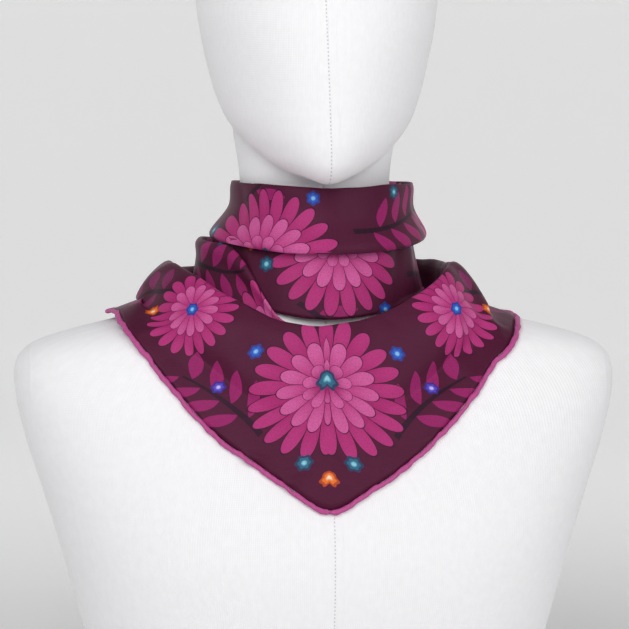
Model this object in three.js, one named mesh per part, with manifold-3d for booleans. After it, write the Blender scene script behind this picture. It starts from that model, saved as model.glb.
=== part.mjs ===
// A silk square scarf worn with one point in front, on the limbless display bust that carries it.
// Millimetres, +Z up. The bust stands on its flat base at z = 0, its neck runs up the Z axis, and
// its front faces -Y. An azimuth is counted in degrees round the neck: 0 in front, 90 at +X.
import * as THREE from "three";
import { mergeVertices } from "three/addons/utils/BufferGeometryUtils.js";
import Module from "manifold-3d";

// Driving sizes
const CLOTH = 1.4; // wall of one layer, thicker than silk twill so that it can be handled as a solid
const SEAM_GAP = 0.8; // between two pieces that meet
const REST_GAP = 0.8; // between the cloth's inner side and the bust where the cloth lies on it
const HEM_RADIUS = 1.9; // the rolled hem is a soft cord of silk, about 4 mm thick
const KNOT = { width: 38, depth: 19, height: 27, centre: 282, radius: 88.4 };

// The bust: half width at the sides, depth to the front and back, and how square the section is
const BUST = [
  { z: 0, side: 139, front: 92, back: 76, square: 2.5 },
  { z: 50, side: 153.5, front: 108, back: 82, square: 2.5 },
  { z: 100, side: 167.5, front: 115, back: 86, square: 2.5 },
  { z: 140, side: 179.5, front: 108, back: 90, square: 2.6 },
  { z: 178, side: 191.5, front: 97, back: 91, square: 2.7 },
  { z: 205, side: 197, front: 87, back: 89, square: 2.8 },
  { z: 218, side: 197.5, front: 81, back: 85, square: 2.7 },
  { z: 228, side: 194, front: 76, back: 81, square: 2.6 },
  { z: 237, side: 181, front: 71.5, back: 77, square: 2.5 },
  { z: 243, side: 162, front: 68, back: 74, square: 2.4 },
  { z: 248, side: 142, front: 64.5, back: 70.5, square: 2.3 },
  { z: 255, side: 113, front: 61, back: 66.5, square: 2.2 },
  { z: 262, side: 87, front: 58, back: 63, square: 2.1 },
  { z: 271, side: 68, front: 55, back: 60, square: 2 },
  { z: 284, side: 56, front: 52.5, back: 58, square: 2 },
  { z: 300, side: 51.5, front: 50.5, back: 56.5, square: 2 },
  { z: 320, side: 49.5, front: 49, back: 56, square: 2 },
  { z: 345, side: 49.5, front: 49, back: 57, square: 2 },
  { z: 371, side: 53.5, front: 48, back: 58.5, square: 2 },
  { z: 405, side: 56, front: 44, back: 60, square: 2 },
  { z: 445, side: 48, front: 34, back: 54, square: 2 },
];
// The faceless head: half width, and where its front and back lie along Y
const HEAD = [
  { z: 343.5, side: 14, front: -81, back: -50 },
  { z: 349, side: 28, front: -92, back: -32 },
  { z: 360, side: 42, front: -99, back: -9 },
  { z: 376, side: 56.5, front: -102, back: 22 },
  { z: 395, side: 65.5, front: -104, back: 47 },
  { z: 420, side: 72.5, front: -106, back: 68 },
  { z: 450, side: 78, front: -106, back: 83 },
  { z: 480, side: 79.5, front: -105, back: 88 },
  { z: 510, side: 76.5, front: -97, back: 88 },
  { z: 535, side: 68, front: -83, back: 79 },
  { z: 555, side: 53.5, front: -62, back: 62 },
  { z: 568, side: 35, front: -38, back: 42 },
  { z: 574, side: 17, front: -16, back: 20 },
];
const CHIN = { z: 341.5, y: -66 };
const CROWN = { z: 576, y: 2 };

// A table with named columns as a list of rows
function rowsOf(names, rows) {
  const keys = names.split(" ");
  return rows.map((row) => Object.fromEntries(row.map((value, i) => [keys[i], value])));
}

// The front drape, section by section: its rolled rim, the outside of the roll, the middle of the
// fall, the height where it comes down on the bust, and the height of its hem. At the shoulders
// the cloth stands off the bust: landUp and hemUp say by how much.
const DRAPE = rowsOf(
  "az rimR rimZ outR outZ midR midZ landZ landUp hemZ hemUp",
  [
    [-171, 76, 297, 80, 292, 80.5, 280, 270, 0, 263, 0],
    [-155, 79, 296, 84, 290, 86, 276, 266, 0, 257, 0],
    [-135, 85, 285.5, 91.5, 282, 96, 270, 259, 0, 252, 0],
    [-112, 92, 282, 103, 277.5, 111, 267, 257, 3, 251.5, 2],
    [-92, 95, 287, 107.5, 279, 116.5, 265, 257, 9, 250.2, 6],
    [-76, 94.5, 285.5, 108, 277, 117.5, 261, 252, 11, 248.2, 7.5],
    [-64, 92, 280, 104.5, 273, 116, 254, 242, 7.5, 237.5, 5.5],
    [-53, 90, 272.5, 100, 264.5, 111, 244, 232, 2, 216.4, 1],
    [-36, 86.5, 262.3, 94, 254.5, 103.5, 227, 208, 0, 180.4, 0],
    [-25, 83.5, 253.8, 89, 248, 97.5, 215, 192, 0, 165, 0],
    [-14, 81.5, 250.5, 86, 243.5, 94.5, 208, 182, 0, 150, 0],
    [-1.5, 81, 248.8, 85, 242, 93.5, 205, 178, 0, 136.6, 0],
    [11, 82, 251.5, 86.5, 244.5, 94.5, 208, 180, 0, 148, 0],
    [24, 86, 257.5, 91.5, 250, 99, 216, 193, 0, 163.6, 0],
    [37, 91, 266.4, 98.5, 258, 105.5, 229, 210, 0, 184.8, 0],
    [47, 94, 274, 102, 265.5, 110.5, 240, 225, 0, 205.5, 0],
    [56, 93.5, 281.5, 102, 273.5, 113.5, 251, 234, 2, 226, 0],
    [66, 91.5, 285.5, 101, 276.5, 112.5, 259, 248, 6, 241, 1],
    [80, 88.5, 286.5, 99, 277.5, 110.5, 264, 255, 6, 250, 1.5],
    [96, 87, 286, 98, 278, 110, 265, 257, 3, 251.8, 0],
    [115, 85.5, 286.5, 95, 280, 103.5, 266, 257.5, 0, 251.5, 0],
    [135, 82, 289, 88.5, 283, 92.5, 269, 259.5, 0, 251, 0],
    [155, 78, 293, 83, 288, 85, 276, 266, 0, 257, 0],
    [171, 76, 297, 80, 292, 80.5, 280, 270, 0, 263, 0],
  ],
);
const DRAPE_TURN_IN = { radius: 4.6, front: 8, side: 20 }; // how far the rim's cloth goes back inside
const DRAPE_END_AZ = 171; // on both sides of the nape, under the knot
const DRAPE_DETAIL = 3; // points on each stretch of its section
const TIP_AZ = -1.5;
// The drape's largest folds: where each lies at its top and at the hem, its height and half width
const DRAPE_FOLDS = [
  { azTop: -118, azHem: -110, height: 2.6, width: 6 },
  { azTop: -143, azHem: -136, height: -2.2, width: 7 },
  { azTop: -84, azHem: -80, height: 1.8, width: 6 },
  { azTop: 75, azHem: 61, height: 4.6, width: 4.5 },
  { azTop: 88, azHem: 73, height: -2.4, width: 6 },
  { azTop: 104, azHem: 97, height: 2.4, width: 6 },
  { azTop: 128, azHem: 121, height: 2.8, width: 6 },
  { azTop: 146, azHem: 141, height: -2, width: 6 },
];

// The left side fold: the cloth between the loop under the top band and the front drape's hollow.
// Turn is the share of its height that its upper edge is turned in by.
const SIDE_FOLD = [
  { az: -150, topR: 70.4, topZ: 300, lowR: 71, lowZ: 286, turn: 0.28 },
  { az: -122, topR: 74, topZ: 303, lowR: 77, lowZ: 281, turn: 0.28 },
  { az: -97, topR: 76.5, topZ: 304, lowR: 80.5, lowZ: 275, turn: 0.28 },
  { az: -76, topR: 75.4, topZ: 302, lowR: 81, lowZ: 269, turn: 0.24 },
  { az: -58, topR: 68.4, topZ: 297, lowR: 79.5, lowZ: 261, turn: 0.12 },
  { az: -43, topR: 68.6, topZ: 281.5, lowR: 77, lowZ: 253, turn: 0.08 },
  { az: -33, topR: 71, topZ: 266, lowR: 75.5, lowZ: 249, turn: 0.08 },
  { az: -25, topR: 72.2, topZ: 254, lowR: 75, lowZ: 245, turn: 0.08 },
  { az: -20, topR: 72.8, topZ: 250, lowR: 75, lowZ: 243.5, turn: 0.08 },
];

// The lower neck band, all round: radius under the top band, at the waist and at the lower edge
const LOWER_BAND = [
  { az: -180, topR: 60.5, topZ: 314, waistR: 65.5, waistZ: 295, lowR: 67.5, lowZ: 276 },
  { az: -135, topR: 58, topZ: 314, waistR: 64.5, waistZ: 295, lowR: 67, lowZ: 276 },
  { az: -90, topR: 54, topZ: 313, waistR: 63.5, waistZ: 296, lowR: 68, lowZ: 276 },
  { az: -60, topR: 54.5, topZ: 313, waistR: 64.5, waistZ: 290, lowR: 69, lowZ: 270 },
  { az: -30, topR: 56.5, topZ: 313, waistR: 65, waistZ: 283, lowR: 69.5, lowZ: 257.5 },
  { az: 0, topR: 58, topZ: 313, waistR: 66, waistZ: 281, lowR: 71.5, lowZ: 252.4 },
  { az: 30, topR: 60, topZ: 313, waistR: 67, waistZ: 281, lowR: 71, lowZ: 256 },
  { az: 60, topR: 61, topZ: 313, waistR: 67, waistZ: 284, lowR: 71.5, lowZ: 263 },
  { az: 90, topR: 61, topZ: 313, waistR: 66.5, waistZ: 288, lowR: 71.5, lowZ: 270 },
  { az: 135, topR: 60.5, topZ: 314, waistR: 66.5, waistZ: 294, lowR: 67.5, lowZ: 275 },
  { az: 180, topR: 60.5, topZ: 314, waistR: 65.5, waistZ: 295, lowR: 67.5, lowZ: 276 },
];
const LOWER_BAND_FOLDS = [
  { azTop: 52, azHem: 44, height: -1.4, width: 5 },
  { azTop: 66, azHem: 60, height: 1.3, width: 5 },
  { azTop: 118, azHem: 126, height: -1.2, width: 7 },
  { azTop: -128, azHem: -136, height: 1.2, width: 7 },
];

// The upper neck band, all round: its turned top, its waist, and the crisp fold at its lower edge
const UPPER_BAND = [
  { az: -180, topR: 61.4, topZ: 340.5, waistR: 65, waistZ: 325, foldR: 71, foldZ: 304 },
  { az: -135, topR: 58.5, topZ: 340.5, waistR: 61, waistZ: 325, foldR: 70.5, foldZ: 304.5 },
  { az: -96, topR: 54.6, topZ: 340, waistR: 56.2, waistZ: 324, foldR: 69, foldZ: 303.5 },
  { az: -75, topR: 54.6, topZ: 339.5, waistR: 56.2, waistZ: 323, foldR: 69, foldZ: 301.7 },
  { az: -50, topR: 56, topZ: 338.5, waistR: 58, waistZ: 320, foldR: 69, foldZ: 298.5 },
  { az: -25, topR: 58, topZ: 337, waistR: 60.5, waistZ: 317, foldR: 69.5, foldZ: 295.5 },
  { az: 0, topR: 60, topZ: 335.8, waistR: 63, waistZ: 316, foldR: 70.5, foldZ: 294 },
  { az: 25, topR: 62, topZ: 336.5, waistR: 64.5, waistZ: 317, foldR: 71.5, foldZ: 295 },
  { az: 50, topR: 63.5, topZ: 338, waistR: 65, waistZ: 320, foldR: 72.5, foldZ: 298 },
  { az: 75, topR: 64.8, topZ: 338.5, waistR: 65.2, waistZ: 322, foldR: 73.6, foldZ: 302 },
  { az: 96, topR: 64.8, topZ: 339, waistR: 65.3, waistZ: 323, foldR: 73.6, foldZ: 304 },
  { az: 135, topR: 63.5, topZ: 340, waistR: 65.3, waistZ: 325, foldR: 72.5, foldZ: 304.5 },
  { az: 180, topR: 61.4, topZ: 340.5, waistR: 65, waistZ: 325, foldR: 71, foldZ: 304 },
];
const UPPER_BAND_TURN_IN = { top: 3.4, drop: 5, fold: 3.6, rise: 8 };

// The two tails under the knot: centre line, half width and how far the cloth stands off the neck
const TAIL = [
  { along: 0, az: 7, z: 266.2, half: 7.5, radius: 87 },
  { along: 0.2, az: 10, z: 252, half: 12, radius: 86 },
  { along: 0.45, az: 14, z: 240, half: 16.5, radius: 85 },
  { along: 0.7, az: 20, z: 221, half: 17, radius: 87 },
  { along: 1, az: 26.5, z: 196, half: 0.8, radius: 89 },
];

const COLOURS = { jersey: 0xe9e7ea, plum: 0x56243d, hem: 0xc25a8e };

const rad = THREE.MathUtils.degToRad;
const lerp = THREE.MathUtils.lerp;

// A smooth curve through one column of a table, its slopes taken from the rows on both sides
function through(rows, key, column, at) {
  const x = rows.map((row) => row[key]);
  const y = rows.map((row) => row[column]);
  const last = rows.length - 1;
  if (at <= x[0]) return y[0];
  if (at >= x[last]) return y[last];
  const slope = (i) => (y[i + 1] - y[i]) / (x[i + 1] - x[i]);
  const tangent = (i) => {
    if (i === 0) return slope(0);
    if (i === last) return slope(last - 1);
    const before = x[i] - x[i - 1];
    const after = x[i + 1] - x[i];
    return (after * slope(i - 1) + before * slope(i)) / (before + after);
  };
  let i = 0;
  while (x[i + 1] < at) i += 1;
  const h = x[i + 1] - x[i];
  const t = (at - x[i]) / h;
  const a = (2 * t ** 3 - 3 * t ** 2 + 1) * y[i] + (t ** 3 - 2 * t ** 2 + t) * h * tangent(i);
  const b = (3 * t ** 2 - 2 * t ** 3) * y[i + 1] + (t ** 3 - t ** 2) * h * tangent(i + 1);
  return a + b;
}

// How far the bust's surface is from the Z axis
function bustRadius(az, z) {
  const at = (column) => through(BUST, "z", column, z);
  const side = Math.abs(Math.sin(rad(az))) / at("side");
  const depth = Math.abs(Math.cos(rad(az))) / at(Math.cos(rad(az)) > 0 ? "front" : "back");
  const power = at("square");
  return 1 / (side ** power + depth ** power) ** (1 / power);
}

// A section point moved out along the bust's own slope until it is clear of it
function clearOfBust(az, point, clearance) {
  let { r, z } = point;
  for (let pass = 0; pass < 3; pass += 1) {
    const slope = (bustRadius(az, z + 1) - bustRadius(az, z - 1)) / 2;
    const length = Math.hypot(1, slope);
    const short = clearance - (r - bustRadius(az, z)) / length;
    if (short > 0) {
      r += short / length;
      z -= (short * slope) / length;
    }
  }
  return { r, z };
}

const onAzimuth = (az, { r, z }) => new THREE.Vector3(r * Math.sin(rad(az)), -r * Math.cos(rad(az)), z);

// Points along a smooth curve through a section's corners, the same number on each stretch
function sectionCurve(corners, perStretch) {
  const curve = new THREE.CatmullRomCurve3(
    corners.map(({ r, z }) => new THREE.Vector3(r, 0, z)),
    false,
    "centripetal",
  );
  const count = (corners.length - 1) * perStretch;
  return Array.from({ length: count + 1 }, (_, i) => {
    const point = curve.getPoint(i / count);
    return { r: point.x, z: point.z };
  });
}

// Sum of the soft ridges and troughs at one place of a stretch, fall being 0 at its top and 1 at its hem
function foldHeight(folds, az, fall) {
  return folds.reduce((sum, fold) => {
    const off = (az - lerp(fold.azTop, fold.azHem, fall)) / fold.width;
    return sum + fold.height * Math.exp(-off * off) * Math.sin(Math.PI * Math.min(1, fall * 1.15));
  }, 0);
}

// A closed wall of the given thickness about a grid of points, grid[column][row]
function wall(grid, thickness, { ring = false } = {}) {
  const columns = grid.length;
  const rows = grid[0].length;
  const at = (c, r) => {
    const column = ring ? (c + columns) % columns : Math.min(Math.max(c, 0), columns - 1);
    return grid[column][Math.min(Math.max(r, 0), rows - 1)];
  };
  const outer = [];
  const inner = [];
  for (let c = 0; c < columns; c += 1)
    for (let r = 0; r < rows; r += 1) {
      const across = at(c + 1, r).clone().sub(at(c - 1, r));
      const down = at(c, r + 1).clone().sub(at(c, r - 1));
      const normal = down.cross(across).normalize().multiplyScalar(thickness / 2);
      outer.push(at(c, r).clone().add(normal));
      inner.push(at(c, r).clone().sub(normal));
    }
  const index = (c, r, side) => (side * columns + ((c + columns) % columns)) * rows + r;
  const faces = [];
  const quad = (a, b, c, d) => faces.push(a, b, c, a, c, d);
  const lastColumn = ring ? columns : columns - 1;
  for (let c = 0; c < lastColumn; c += 1) {
    for (let r = 0; r < rows - 1; r += 1) {
      quad(index(c, r, 0), index(c, r + 1, 0), index(c + 1, r + 1, 0), index(c + 1, r, 0));
      quad(index(c, r, 1), index(c + 1, r, 1), index(c + 1, r + 1, 1), index(c, r + 1, 1));
    }
    quad(index(c, 0, 1), index(c, 0, 0), index(c + 1, 0, 0), index(c + 1, 0, 1));
    const end = rows - 1;
    quad(index(c, end, 0), index(c, end, 1), index(c + 1, end, 1), index(c + 1, end, 0));
  }
  if (!ring)
    for (let r = 0; r < rows - 1; r += 1) {
      const end = columns - 1;
      quad(index(0, r, 0), index(0, r, 1), index(0, r + 1, 1), index(0, r + 1, 0));
      quad(index(end, r, 1), index(end, r, 0), index(end, r + 1, 0), index(end, r + 1, 1));
    }
  return closedMesh([...outer, ...inner], faces);
}

function closedMesh(points, faces) {
  const geometry = new THREE.BufferGeometry().setFromPoints(points);
  geometry.setIndex(faces);
  geometry.computeVertexNormals();
  return geometry;
}

// A closed solid through rings of points from the bottom up, with a middle point at each end
function loft(rings, bottom, top) {
  const around = rings[0].length;
  const points = [...rings.flat(), bottom, top];
  const faces = [];
  const index = (ring, i) => ring * around + (i % around);
  for (let i = 0; i < around; i += 1) {
    for (let ring = 0; ring < rings.length - 1; ring += 1) {
      faces.push(index(ring, i), index(ring, i + 1), index(ring + 1, i + 1));
      faces.push(index(ring, i), index(ring + 1, i + 1), index(ring + 1, i));
    }
    faces.push(points.length - 2, index(0, i + 1), index(0, i));
    faces.push(points.length - 1, index(rings.length - 1, i), index(rings.length - 1, i + 1));
  }
  return closedMesh(points, faces);
}

// The join of two closed solids as one
function joined(wasm, first, second) {
  const solid = (geometry) => {
    const bare = geometry.clone();
    bare.deleteAttribute("normal");
    const merged = mergeVertices(bare, 1e-3);
    const vertProperties = merged.attributes.position.array;
    return new wasm.Manifold(
      new wasm.Mesh({ numProp: 3, vertProperties, triVerts: new Uint32Array(merged.index.array) }),
    );
  };
  const mesh = solid(first).add(solid(second)).getMesh();
  const geometry = new THREE.BufferGeometry();
  geometry.setAttribute("position", new THREE.BufferAttribute(mesh.vertProperties, 3));
  geometry.setIndex(new THREE.BufferAttribute(mesh.triVerts, 1));
  geometry.computeVertexNormals();
  return geometry;
}

// The bust: torso and neck in level sections, and the head as an egg that leans over the neck
function bustSolid(wasm) {
  const AROUND = 60;
  const heights = BUST.flatMap((row, i) => {
    const next = BUST[i + 1];
    if (!next) return [row.z];
    const steps = Math.max(1, Math.round((next.z - row.z) / 18));
    return Array.from({ length: steps }, (_, k) => lerp(row.z, next.z, k / steps));
  });
  const body = heights.map((z) =>
    Array.from({ length: AROUND }, (_, i) => {
      const az = (360 * i) / AROUND;
      return onAzimuth(az, { r: bustRadius(az, z), z });
    }),
  );
  const topZ = heights.at(-1);
  const torso = loft(body, new THREE.Vector3(0, 0, 0), new THREE.Vector3(0, 0, topZ));
  const HEAD_AROUND = 40;
  const egg = HEAD.map(({ z, side, front, back }) =>
    Array.from({ length: HEAD_AROUND }, (_, i) => {
      const turn = rad((360 * i) / HEAD_AROUND);
      const middle = (front + back) / 2;
      const depth = (back - front) / 2;
      return new THREE.Vector3(side * Math.sin(turn), middle - depth * Math.cos(turn), z);
    }),
  );
  const head = loft(egg, new THREE.Vector3(0, CHIN.y, CHIN.z), new THREE.Vector3(0, CROWN.y, CROWN.z));
  return joined(wasm, torso, head);
}

// One section of the front drape, from inside its hollow over the rim to the hem
function drapeSection(az, perStretch) {
  const at = (column) => through(DRAPE, "az", column, az);
  const frontness = Math.max(0, Math.cos(rad(az))) ** 2;
  const turnIn = lerp(DRAPE_TURN_IN.side, DRAPE_TURN_IN.front, frontness);
  const overBust = (z, up) => ({ r: bustRadius(az, z), z: z + up });
  const corners = [
    { r: at("rimR") - DRAPE_TURN_IN.radius, z: at("rimZ") - turnIn },
    { r: at("rimR"), z: at("rimZ") },
    { r: at("outR"), z: at("outZ") },
    { r: at("midR"), z: at("midZ") },
    overBust(at("landZ"), at("landUp")),
    overBust(at("hemZ"), at("hemUp")),
  ];
  const points = sectionCurve(corners, perStretch);
  return points.map((point, i) => {
    const fall = Math.max(0, (i / perStretch - 1) / (corners.length - 2));
    const lifted = { r: point.r + foldHeight(DRAPE_FOLDS, az, fall), z: point.z };
    return clearOfBust(az, lifted, REST_GAP + CLOTH / 2);
  });
}

// Azimuths from one to the other, evenly spaced on the cloth midway between the rim and the hem
function evenAzimuths(from, to, columns) {
  const STEPS = 200;
  const fine = Array.from({ length: STEPS + 1 }, (_, i) => lerp(from, to, i / STEPS));
  const ends = fine.map((az) => {
    const section = drapeSection(az, 1);
    return [onAzimuth(az, section[1]), onAzimuth(az, section.at(-1))];
  });
  const reach = [0];
  for (let i = 1; i <= STEPS; i += 1)
    reach.push(reach[i - 1] + ends[i][0].distanceTo(ends[i - 1][0]) + ends[i][1].distanceTo(ends[i - 1][1]));
  return Array.from({ length: columns + 1 }, (_, i) => {
    const wanted = (reach[STEPS] * i) / columns;
    const after = Math.max(1, reach.findIndex((length) => length >= wanted - 1e-9));
    const share = (wanted - reach[after - 1]) / (reach[after] - reach[after - 1]);
    return lerp(fine[after - 1], fine[after], share);
  });
}

function frontDrape() {
  const COLUMNS = 31; // on each side of the tip
  const left = evenAzimuths(-DRAPE_END_AZ, TIP_AZ, COLUMNS);
  const right = evenAzimuths(TIP_AZ, DRAPE_END_AZ, COLUMNS).slice(1);
  const grid = [...left, ...right].map((az) =>
    drapeSection(az, DRAPE_DETAIL).map((point) => onAzimuth(az, point)),
  );
  return wall(grid, CLOTH);
}

// The rolled hem along the drape's lower edge, from the nape to the front tip
function hemPath(from, to) {
  return evenAzimuths(from, to, 31).map((az) => {
    const [last, end] = drapeSection(az, DRAPE_DETAIL).slice(-2);
    const length = Math.hypot(end.r - last.r, end.z - last.z);
    const reach = (HEM_RADIUS + SEAM_GAP) / length;
    const beyond = { r: end.r + (end.r - last.r) * reach, z: end.z + (end.z - last.z) * reach };
    return onAzimuth(az, clearOfBust(az, beyond, HEM_RADIUS + REST_GAP));
  });
}

function cordAlong(points, radius) {
  const SIDES = 6;
  const outline = new THREE.Shape(
    Array.from({ length: SIDES }, (_, i) => {
      const turn = (2 * Math.PI * i) / SIDES;
      return new THREE.Vector2(radius * Math.cos(turn), radius * Math.sin(turn));
    }),
  );
  const extrudePath = new THREE.CatmullRomCurve3(points, false, "centripetal");
  return new THREE.ExtrudeGeometry(outline, { steps: points.length, bevelEnabled: false, extrudePath });
}

// The side fold: a rolled upper edge, and cloth that falls into the hollow behind the drape's rim
function sideFold() {
  const COLUMNS = 22;
  const first = SIDE_FOLD[0].az;
  const last = SIDE_FOLD.at(-1).az;
  const grid = Array.from({ length: COLUMNS + 1 }, (_, i) => {
    const az = lerp(first, last, i / COLUMNS);
    const at = (column) => through(SIDE_FOLD, "az", column, az);
    const tall = at("topZ") - at("lowZ");
    const turned = at("turn") * tall;
    const corners = [
      { r: at("topR") - 0.4 * turned, z: at("topZ") - turned },
      { r: at("topR") - 0.14 * turned, z: at("topZ") - 0.14 * turned },
      { r: at("topR") + 0.05 * tall, z: at("topZ") - 0.12 * tall },
      { r: at("topR") + 0.055 * tall, z: at("topZ") - 0.42 * tall },
      { r: at("lowR"), z: at("lowZ") },
    ];
    return sectionCurve(corners, 2).map((point) =>
      onAzimuth(az, clearOfBust(az, point, REST_GAP + CLOTH / 2)),
    );
  });
  return wall(grid, CLOTH);
}

function roundTheNeck(section) {
  const AROUND = 42;
  const grid = Array.from({ length: AROUND }, (_, i) => {
    const az = -180 + (360 * i) / AROUND;
    return section(az).map((point) => onAzimuth(az, clearOfBust(az, point, REST_GAP + CLOTH / 2)));
  });
  return wall(grid, CLOTH, { ring: true });
}

function lowerBand() {
  return roundTheNeck((az) => {
    const at = (column) => through(LOWER_BAND, "az", column, az);
    const points = sectionCurve(
      [
        { r: at("topR"), z: at("topZ") },
        { r: lerp(at("topR"), at("waistR"), 0.6), z: lerp(at("topZ"), at("waistZ"), 0.5) },
        { r: at("waistR"), z: at("waistZ") },
        { r: at("lowR"), z: at("lowZ") },
      ],
      2,
    );
    return points.map(({ r, z }, i) => ({
      r: r + foldHeight(LOWER_BAND_FOLDS, az, i / (points.length - 1)),
      z,
    }));
  });
}

function upperBand() {
  const turn = UPPER_BAND_TURN_IN;
  return roundTheNeck((az) => {
    const at = (column) => through(UPPER_BAND, "az", column, az);
    return sectionCurve(
      [
        { r: at("topR") - turn.top, z: at("topZ") - turn.drop },
        { r: at("topR") - turn.top / 2, z: at("topZ") },
        { r: at("topR") + 0.6, z: at("topZ") - 4 },
        { r: at("waistR"), z: at("waistZ") },
        { r: at("foldR") - 0.4, z: at("foldZ") + 4 },
        { r: at("foldR") - turn.fold / 2, z: at("foldZ") },
        { r: at("foldR") - turn.fold, z: at("foldZ") + turn.rise },
      ],
      2,
    );
  });
}

// The knot at the nape: a soft egg with slanting folds round it
function knot() {
  const geometry = new THREE.SphereGeometry(1, 20, 12);
  const position = geometry.attributes.position;
  for (let i = 0; i < position.count; i += 1) {
    const point = new THREE.Vector3().fromBufferAttribute(position, i);
    const fold = 1 + 0.05 * Math.sin(9 * point.x + 4 * point.y) * (1 - Math.abs(point.y) ** 4);
    position.setXYZ(
      i,
      (point.x * fold * KNOT.width) / 2,
      (point.z * fold * KNOT.depth) / 2 + KNOT.radius,
      (-point.y * fold * KNOT.height) / 2 + KNOT.centre,
    );
  }
  return geometry;
}

// One tail: a narrow strip that widens and ends in the square's own corner
function tail(hand) {
  const LENGTH = 16;
  const ACROSS = 6;
  const grid = Array.from({ length: LENGTH + 1 }, (_, i) => {
    const along = i / LENGTH;
    const at = (column) => through(TAIL, "along", column, along);
    return Array.from({ length: ACROSS + 1 }, (__, k) => {
      const off = (2 * k) / ACROSS - 1;
      const slant = 0.34 * off * at("half");
      const z = at("z") + hand * slant;
      const az = 180 + hand * -at("az") + (180 / Math.PI) * (off * at("half") * 0.94) / at("radius");
      const cup = 2.2 * Math.cos(off * Math.PI) * (1 - along);
      return onAzimuth(az, clearOfBust(az, { r: at("radius") + cup, z }, REST_GAP + CLOTH / 2));
    });
  });
  return wall(grid, CLOTH);
}

const wasm = await Module();
wasm.setup();

const silk = new THREE.MeshStandardMaterial({ color: COLOURS.plum, roughness: 0.5, metalness: 0 });
const hemSilk = new THREE.MeshStandardMaterial({ color: COLOURS.hem, roughness: 0.55, metalness: 0 });
const jersey = new THREE.MeshStandardMaterial({ color: COLOURS.jersey, roughness: 0.9, metalness: 0 });

const scarf = new THREE.Group();
const bust = new THREE.Group();
const whole = new THREE.Group();
whole.add(scarf, bust);

function add(group, name, geometry, material) {
  const mesh = new THREE.Mesh(geometry, material);
  mesh.name = name;
  group.add(mesh);
}

add(bust, "display_bust", bustSolid(wasm), jersey);
add(scarf, "front_drape", frontDrape(), silk);
add(scarf, "side_fold_left", sideFold(), silk);
add(scarf, "neck_band_lower", lowerBand(), silk);
add(scarf, "neck_band_upper", upperBand(), silk);
add(scarf, "nape_knot", knot(), silk);
add(scarf, "tail_left", tail(1), silk);
add(scarf, "tail_right", tail(-1), silk);
add(scarf, "hem_front_left", cordAlong(hemPath(-170, TIP_AZ - 0.9), HEM_RADIUS), hemSilk);
add(scarf, "hem_front_right", cordAlong(hemPath(170, TIP_AZ + 0.9), HEM_RADIUS), hemSilk);

export default whole;
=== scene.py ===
# %% [markdown]
# # A silk square scarf on a display bust
# The CAD model gives every piece its real size and place. Here each piece gets its looks: the
# cloth is laid as thin shells on the same forms, and the print, weave and knit are made from
# nodes. All sizes below are millimetres, and MM turns them into the metres that Blender uses.

# %% Start from the fixed frame
import math

import bpy
import numpy as np
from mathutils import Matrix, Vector


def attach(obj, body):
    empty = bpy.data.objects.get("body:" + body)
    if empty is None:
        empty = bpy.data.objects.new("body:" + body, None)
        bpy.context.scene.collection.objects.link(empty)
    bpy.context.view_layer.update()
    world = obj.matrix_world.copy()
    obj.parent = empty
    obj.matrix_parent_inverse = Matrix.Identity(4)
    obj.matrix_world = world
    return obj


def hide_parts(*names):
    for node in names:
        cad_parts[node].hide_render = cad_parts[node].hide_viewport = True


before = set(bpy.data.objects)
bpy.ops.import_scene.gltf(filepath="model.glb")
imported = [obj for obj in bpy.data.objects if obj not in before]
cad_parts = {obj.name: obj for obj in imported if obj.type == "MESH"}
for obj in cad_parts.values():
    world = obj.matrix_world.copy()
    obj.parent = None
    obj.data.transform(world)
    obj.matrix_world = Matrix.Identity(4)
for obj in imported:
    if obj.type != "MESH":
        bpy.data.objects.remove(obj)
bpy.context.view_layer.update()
MM = 0.001
TAU = 2 * math.pi

# %% [markdown]
# ## Camera
# The photograph looks at the bust almost from the front, a little from its right hand side and
# a little from above. Its lens is long, so near and far parts keep their proportions. A camera
# is two things in Blender: the lens data, and an object that is placed and turned. The turn
# comes from `to_track_quat`, which points the camera's -Z axis along a direction.

# %% Camera
FRAME_WIDTH = 415.0  # what the picture's width covers at the bust
CAMERA_DISTANCE = 1900.0
CAMERA_AZIMUTH = -6.5  # degrees round the neck, less than zero is towards -X
CAMERA_ELEVATION = 3.0
LOOK_AT_HEIGHT = 252.0
SENSOR = 36.0


def direction(azimuth, elevation):
    """The unit vector from the bust towards an azimuth and an elevation in degrees."""
    a, e = math.radians(azimuth), math.radians(elevation)
    return np.array([math.sin(a) * math.cos(e), -math.cos(a) * math.cos(e), math.sin(e)])


def aim(obj, place, target):
    """Puts an object at a place, in millimetres, and turns its -Z axis to a target."""
    obj.location = Vector(place) * MM
    turn = (Vector(target) - Vector(place)).to_track_quat("-Z", "Y")
    obj.rotation_euler = turn.to_euler()


lens = bpy.data.cameras.new("camera")
lens.sensor_width = SENSOR
lens.lens = SENSOR * CAMERA_DISTANCE / FRAME_WIDTH
camera = bpy.data.objects.new("camera", lens)
bpy.context.scene.collection.objects.link(camera)
look_at = np.array([0.0, 0.0, LOOK_AT_HEIGHT])
aim(camera, look_at + CAMERA_DISTANCE * direction(CAMERA_AZIMUTH, CAMERA_ELEVATION), look_at)
bpy.context.scene.camera = camera
bpy.context.scene.view_settings.view_transform = "Standard"  # a studio photograph's plain contrast
print("lens, mm:", round(lens.lens, 1))

# %% [markdown]
# ## Smooth curves through small tables
# A worn scarf has no straight lines, but its shape is easy to say at a few places round the
# neck: how far out the rim is there, how high it is, where the hem lies. A table holds those
# sizes, one row for each place, and the curve between the rows is worked out. This is the same
# idea as lofting: few sections, smooth between.

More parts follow.
